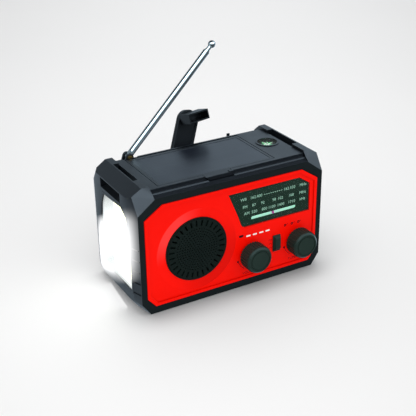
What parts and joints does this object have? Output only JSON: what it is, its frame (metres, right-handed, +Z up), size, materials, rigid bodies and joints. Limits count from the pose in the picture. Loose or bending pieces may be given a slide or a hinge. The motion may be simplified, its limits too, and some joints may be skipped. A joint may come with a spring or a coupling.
{
  "type": "emergency radio",
  "caption": "Box-shaped emergency radio with a red front, tuning dial, round speaker, end flashlight, solar lid, telescopic antenna and folding hand crank.",
  "frame": {"origin": "centre of the underside of the base pad, on the table", "axes": "+X to the right along the front, +Y towards the rear, +Z up; the red front faces -Y"},
  "size_m": [0.1623, 0.1088, 0.1748],
  "materials": {
    "case_black": "fine satin",
    "pad_rubber": "matt",
    "panel_red": "satin gloss",
    "bumper_rubber": "soft matt",
    "steel": "satin",
    "cone_fibre": "matt",
    "clear": "polished",
    "gloss_black": "gloss",
    "pale_plastic": "satin",
    "dark_plastic": "satin",
    "pink_plastic": "gloss",
    "board": "solder mask",
    "ferrite": "matt",
    "copper": "enamelled",
    "white_reflector": "bright",
    "lamp_white": "lit",
    "solar": "glossy",
    "compass_green": "printed",
    "brass": "polished",
    "chrome": "polished",
    "button_rubber": "matt",
    "button_red": "matt",
    "cell_wrap": "satin"
  },
  "bodies": {
    "case": {"front_shell": "case_black", "rear_shell": "case_black", "base_pad": "pad_rubber", "front_panel": "panel_red", "left_end_cap": "bumper_rubber", "right_end_cap": "bumper_rubber", "top_deck": "case_black", "speaker_grille": "case_black", "speaker_frame": "steel", "speaker_cone": "cone_fibre", "dial_lens": "clear", "dial_plate": "gloss_black", "pointer_track": "pale_plastic", "dial_chassis": "dark_plastic", "indicator_lights": "pale_plastic", "control_board": "board", "volume_pot": "steel", "tuning_capacitor": "pale_plastic", "main_board": "board", "ferrite_rod": "ferrite", "ferrite_coil": "copper", "flash_bezel": "dark_plastic", "flash_lens": "clear", "flash_reflector": "white_reflector", "flash_lamps": "lamp_white", "compass_housing": "case_black", "compass_dome": "clear", "antenna_base": "dark_plastic", "antenna_pin": "brass", "generator": "steel", "gear_plate": "dark_plastic", "side_board": "board", "battery_cell": "cell_wrap", "case_screws": "steel"},
    "volume_dial": {"volume_knob": "dark_plastic"},
    "tuning_dial": {"tuning_knob": "dark_plastic", "tuning_gear": "pale_plastic"},
    "idler": {"idler_gear": "pale_plastic"},
    "pointer_slide": {"pointer": "pink_plastic"},
    "band_slide": {"band_knob": "dark_plastic"},
    "lid": {"solar_lid": "case_black", "solar_cell": "solar", "reading_lamp": "lamp_white"},
    "compass_disc": {"compass_card": "compass_green"},
    "antenna_outer": {"antenna_tube": "chrome"},
    "antenna_mid": {"antenna_middle": "chrome"},
    "antenna_inner": {"antenna_rod": "chrome"},
    "crank_shaft": {"crank_gear": "pale_plastic", "crank_hub": "dark_plastic", "fold_pin": "steel"},
    "crank_lever": {"crank_arm": "dark_plastic", "grip_pin": "steel"},
    "grip": {"crank_grip": "dark_plastic"},
    "gear_pair": {"compound_gear": "pale_plastic"},
    "generator_rotor": {"generator_pinion": "brass"},
    "flashlight_key": {"flashlight_button": "button_rubber"},
    "alarm_key": {"alarm_button": "button_red"},
    "port_flap": {"port_cover": "bumper_rubber"},
    "battery_flap": {"battery_door": "case_black"}
  },
  "joints": [
    {"name": "volume_turn", "type": "hinge", "parent": "case", "child": "volume_dial", "pos_m": [0.0152, -0.04, 0.026], "axis": [0, 1, 0], "range_deg": [-150, 150]},
    {"name": "tuning_turn", "type": "hinge", "parent": "case", "child": "tuning_dial", "pos_m": [0.0571, -0.04, 0.027], "axis": [0, 1, 0], "range_deg": [-84, 84]},
    {"name": "idler_turn", "type": "hinge", "parent": "case", "child": "idler", "pos_m": [0.0349, -0.028, 0.04053], "axis": [0, 1, 0], "range_deg": [-80, 80]},
    {"name": "pointer_travel", "type": "slide", "parent": "case", "child": "pointer_slide", "axis": [1, 0, 0], "range_m": [-0.0185, 0.0185]},
    {"name": "band_select", "type": "slide", "parent": "case", "child": "band_slide", "axis": [0, 0, 1], "range_m": [-0.003, 0.003]},
    {"name": "lid_open", "type": "hinge", "parent": "case", "child": "lid", "pos_m": [0, 0.0243, 0.0947], "axis": [-1, 0, 0], "range_deg": [0, 75]},
    {"name": "compass_turn", "type": "hinge", "parent": "case", "child": "compass_disc", "pos_m": [0.0535, 0.0008, 0.0943], "axis": [0, 0, 1], "continuous": true},
    {"name": "antenna_tilt", "type": "hinge", "parent": "case", "child": "antenna_outer", "pos_m": [-0.052, 0.0313, 0.096], "axis": [0, -1, 0], "range_deg": [-45, 90]},
    {"name": "antenna_pull_1", "type": "slide", "parent": "antenna_outer", "child": "antenna_mid", "axis": [0.6984, 0, 0.7157], "range_m": [0, 0.08]},
    {"name": "antenna_pull_2", "type": "slide", "parent": "antenna_mid", "child": "antenna_inner", "axis": [0.6984, 0, 0.7157], "range_m": [0, 0.08]},
    {"name": "crank_turn", "type": "hinge", "parent": "case", "child": "crank_shaft", "pos_m": [-0.0106, 0.0365, 0.063], "axis": [0, 1, 0], "continuous": true},
    {"name": "crank_fold", "type": "hinge", "parent": "crank_shaft", "child": "crank_lever", "pos_m": [-0.0106, 0.0365, 0.063], "axis": [-0.8965, 0, 0.4431], "range_deg": [-18.6, 22]},
    {"name": "grip_spin", "type": "hinge", "parent": "crank_lever", "child": "grip", "pos_m": [0.01208, 0.05372, 0.10888], "axis": [-0.1413, 0.9478, -0.2859], "continuous": true},
    {"name": "gear_pair_turn", "type": "hinge", "parent": "case", "child": "gear_pair", "pos_m": [-0.03144, 0.027, 0.04729], "axis": [0, 1, 0], "continuous": true},
    {"name": "generator_turn", "type": "hinge", "parent": "case", "child": "generator_rotor", "pos_m": [-0.04474, 0.022, 0.03027], "axis": [0, 1, 0], "continuous": true},
    {"name": "flashlight_press", "type": "slide", "parent": "case", "child": "flashlight_key", "axis": [-1, 0, 0], "range_m": [0, 0.0012], "stiffness_N_per_m": 800, "springref_m": -0.0006},
    {"name": "alarm_press", "type": "slide", "parent": "case", "child": "alarm_key", "axis": [-1, 0, 0], "range_m": [0, 0.0012], "stiffness_N_per_m": 800, "springref_m": -0.0006},
    {"name": "port_open", "type": "hinge", "parent": "case", "child": "port_flap", "pos_m": [0.0798, 0.017, 0.03], "axis": [0, 0, 1], "range_deg": [0, 100]},
    {"name": "battery_open", "type": "hinge", "parent": "case", "child": "battery_flap", "pos_m": [0.015, 0.0329, 0.0093], "axis": [-1, 0, 0], "range_deg": [0, 85]}
  ],
  "couplings": [
    {"joint": "idler_turn", "follows": "tuning_turn", "ratio": -0.85714},
    {"joint": "pointer_travel", "follows": "tuning_turn", "m_per_rad": -0.012},
    {"joint": "gear_pair_turn", "follows": "crank_turn", "ratio": -3.1429},
    {"joint": "generator_turn", "follows": "crank_turn", "ratio": 8.9796}
  ]
}
